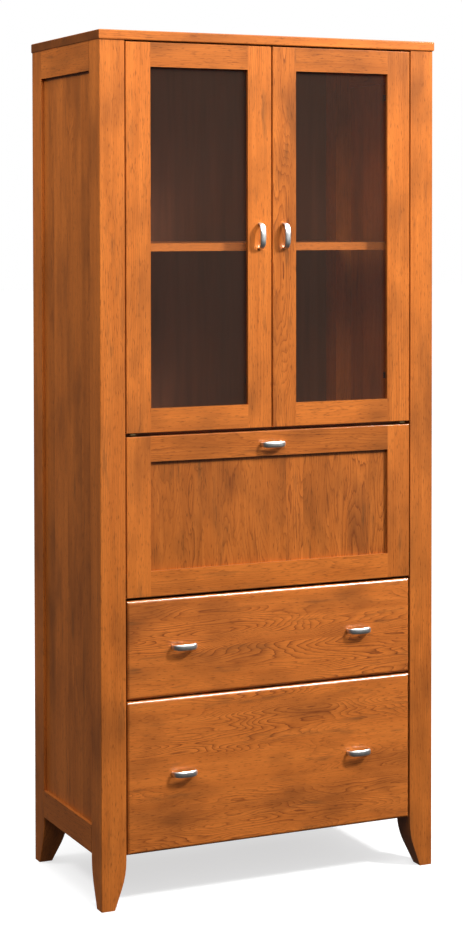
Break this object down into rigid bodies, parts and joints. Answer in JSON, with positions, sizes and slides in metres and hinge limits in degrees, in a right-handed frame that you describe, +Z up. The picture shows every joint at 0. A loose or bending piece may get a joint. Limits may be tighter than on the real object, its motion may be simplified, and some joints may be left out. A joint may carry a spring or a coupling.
{
  "type": "china cabinet",
  "caption": "Tall wooden storage cabinet on tapered legs with glass doors over a shelf, a drop-front section on slotted stays, and drawers on metal slides.",
  "frame": {"origin": "on the floor, at the middle of the overall envelope with its pulls", "axes": "+Z up, doors and drawers face -Y, +X to the right of someone facing them"},
  "size_m": [0.858, 0.468, 1.981],
  "materials": {
    "cherry": "satin lacquer on stained cherry",
    "cherry_panel": "satin lacquer on glued-up cherry boards",
    "back_wood": "satin lacquer on veneered plywood",
    "drawer_box_wood": "clear lacquer on maple",
    "glass": "clear float glass",
    "satin_nickel": "satin nickel plate",
    "hinge_brass": "brushed brass",
    "plated_steel": "nickel-plated steel",
    "slide_zinc": "zinc-plated steel",
    "clip_plastic": "black nylon",
    "catch_plastic": "brown moulded plastic"
  },
  "bodies": {
    "case": {"leg_front_left": "cherry", "leg_front_right": "cherry", "leg_back_left": "cherry", "leg_back_right": "cherry", "top_board": "cherry", "side_top_rail_left": "cherry", "side_top_rail_right": "cherry", "side_bottom_rail_left": "cherry", "side_bottom_rail_right": "cherry", "side_panel_left": "cherry_panel", "side_panel_right": "cherry_panel", "back_panel": "back_wood", "case_bottom": "cherry", "drawer_divider": "cherry", "desk_deck": "cherry", "display_floor": "cherry", "top_front_rail": "cherry", "adjustable_shelf": "cherry", "shelf_pins": "plated_steel", "case_hinge_leaves": "hinge_brass", "stay_studs": "plated_steel", "slide_case_members": "slide_zinc", "magnet_catches": "catch_plastic"},
    "left_door": {"left_door_hinge_stile": "cherry", "left_door_meeting_stile": "cherry", "left_door_top_rail": "cherry", "left_door_bottom_rail": "cherry", "left_door_glass": "glass", "left_door_glass_clips": "clip_plastic", "left_door_hinge_leaves": "hinge_brass", "left_door_pull": "satin_nickel"},
    "right_door": {"right_door_hinge_stile": "cherry", "right_door_meeting_stile": "cherry", "right_door_top_rail": "cherry", "right_door_bottom_rail": "cherry", "right_door_glass": "glass", "right_door_glass_clips": "clip_plastic", "right_door_hinge_leaves": "hinge_brass", "right_door_pull": "satin_nickel"},
    "flap": {"flap_stile_left": "cherry", "flap_stile_right": "cherry", "flap_top_rail": "cherry", "flap_bottom_rail": "cherry", "flap_panel": "cherry_panel", "flap_hinge_leaves": "hinge_brass", "flap_pull": "satin_nickel", "stay_brackets": "plated_steel"},
    "stay_arms": {"stay_arms": "plated_steel"},
    "upper_drawer": {"upper_drawer_front": "cherry", "upper_drawer_sides": "drawer_box_wood", "upper_drawer_back": "drawer_box_wood", "upper_drawer_bottom": "drawer_box_wood", "upper_drawer_pulls": "satin_nickel", "upper_slide_drawer_members": "slide_zinc"},
    "lower_drawer": {"lower_drawer_front": "cherry", "lower_drawer_sides": "drawer_box_wood", "lower_drawer_back": "drawer_box_wood", "lower_drawer_bottom": "drawer_box_wood", "lower_drawer_pulls": "satin_nickel", "lower_slide_drawer_members": "slide_zinc"}
  },
  "joints": [
    {"name": "left_door_swing", "type": "hinge", "parent": "case", "child": "left_door", "pos_m": [-0.34683, -0.202, 1.516], "axis": [0, 0, -1], "range_deg": [0, 110]},
    {"name": "right_door_swing", "type": "hinge", "parent": "case", "child": "right_door", "pos_m": [0.34683, -0.202, 1.516], "axis": [0, 0, 1], "range_deg": [0, 110]},
    {"name": "flap_drop", "type": "hinge", "parent": "case", "child": "flap", "pos_m": [0, -0.202, 0.71404], "axis": [1, 0, 0], "range_deg": [0, 90]},
    {"name": "stay_swing", "type": "hinge", "parent": "flap", "child": "stay_arms", "pos_m": [0, -0.182, 0.91304], "axis": [1, 0, 0], "range_deg": [-45, 0]},
    {"name": "upper_drawer_slide", "type": "slide", "parent": "case", "child": "upper_drawer", "axis": [0, -1, 0], "range_m": [0, 0.3]},
    {"name": "lower_drawer_slide", "type": "slide", "parent": "case", "child": "lower_drawer", "axis": [0, -1, 0], "range_m": [0, 0.3]}
  ],
  "couplings": [
    {"joint": "stay_swing", "follows": "flap_drop", "ratio": -0.5}
  ]
}
